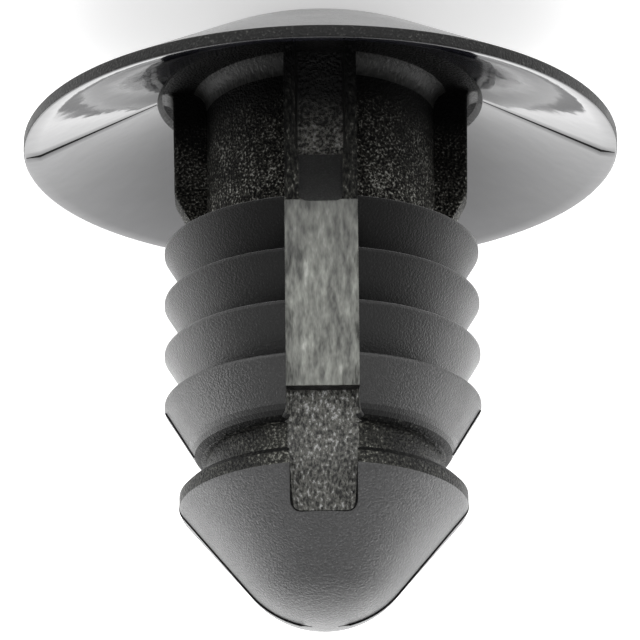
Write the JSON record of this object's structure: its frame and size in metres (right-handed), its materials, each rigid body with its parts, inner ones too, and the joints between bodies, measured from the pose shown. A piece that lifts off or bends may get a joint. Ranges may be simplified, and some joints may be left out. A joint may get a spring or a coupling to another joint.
{
  "type": "push-in panel retainer clip",
  "caption": "One-piece moulded push-in retainer: a domed umbrella head, a finned neck with a window, hooked ribs, a groove and a blunt nose.",
  "frame": {"origin": "on the shank's axis, at the bottom of the domed head, on the surface that the clip stands on", "axes": "+Z along the shank from the head to the nose, -Y towards the front window, +X towards one side fin"},
  "size_m": [0.02, 0.02, 0.0211],
  "materials": {
    "clip": "black moulded nylon: glossy under the head, spark-eroded texture on the neck, groove and tongue, satin on the ribs and nose"
  },
  "bodies": {
    "root": {"retainer_clip": "clip"}
  },
  "joints": []
}
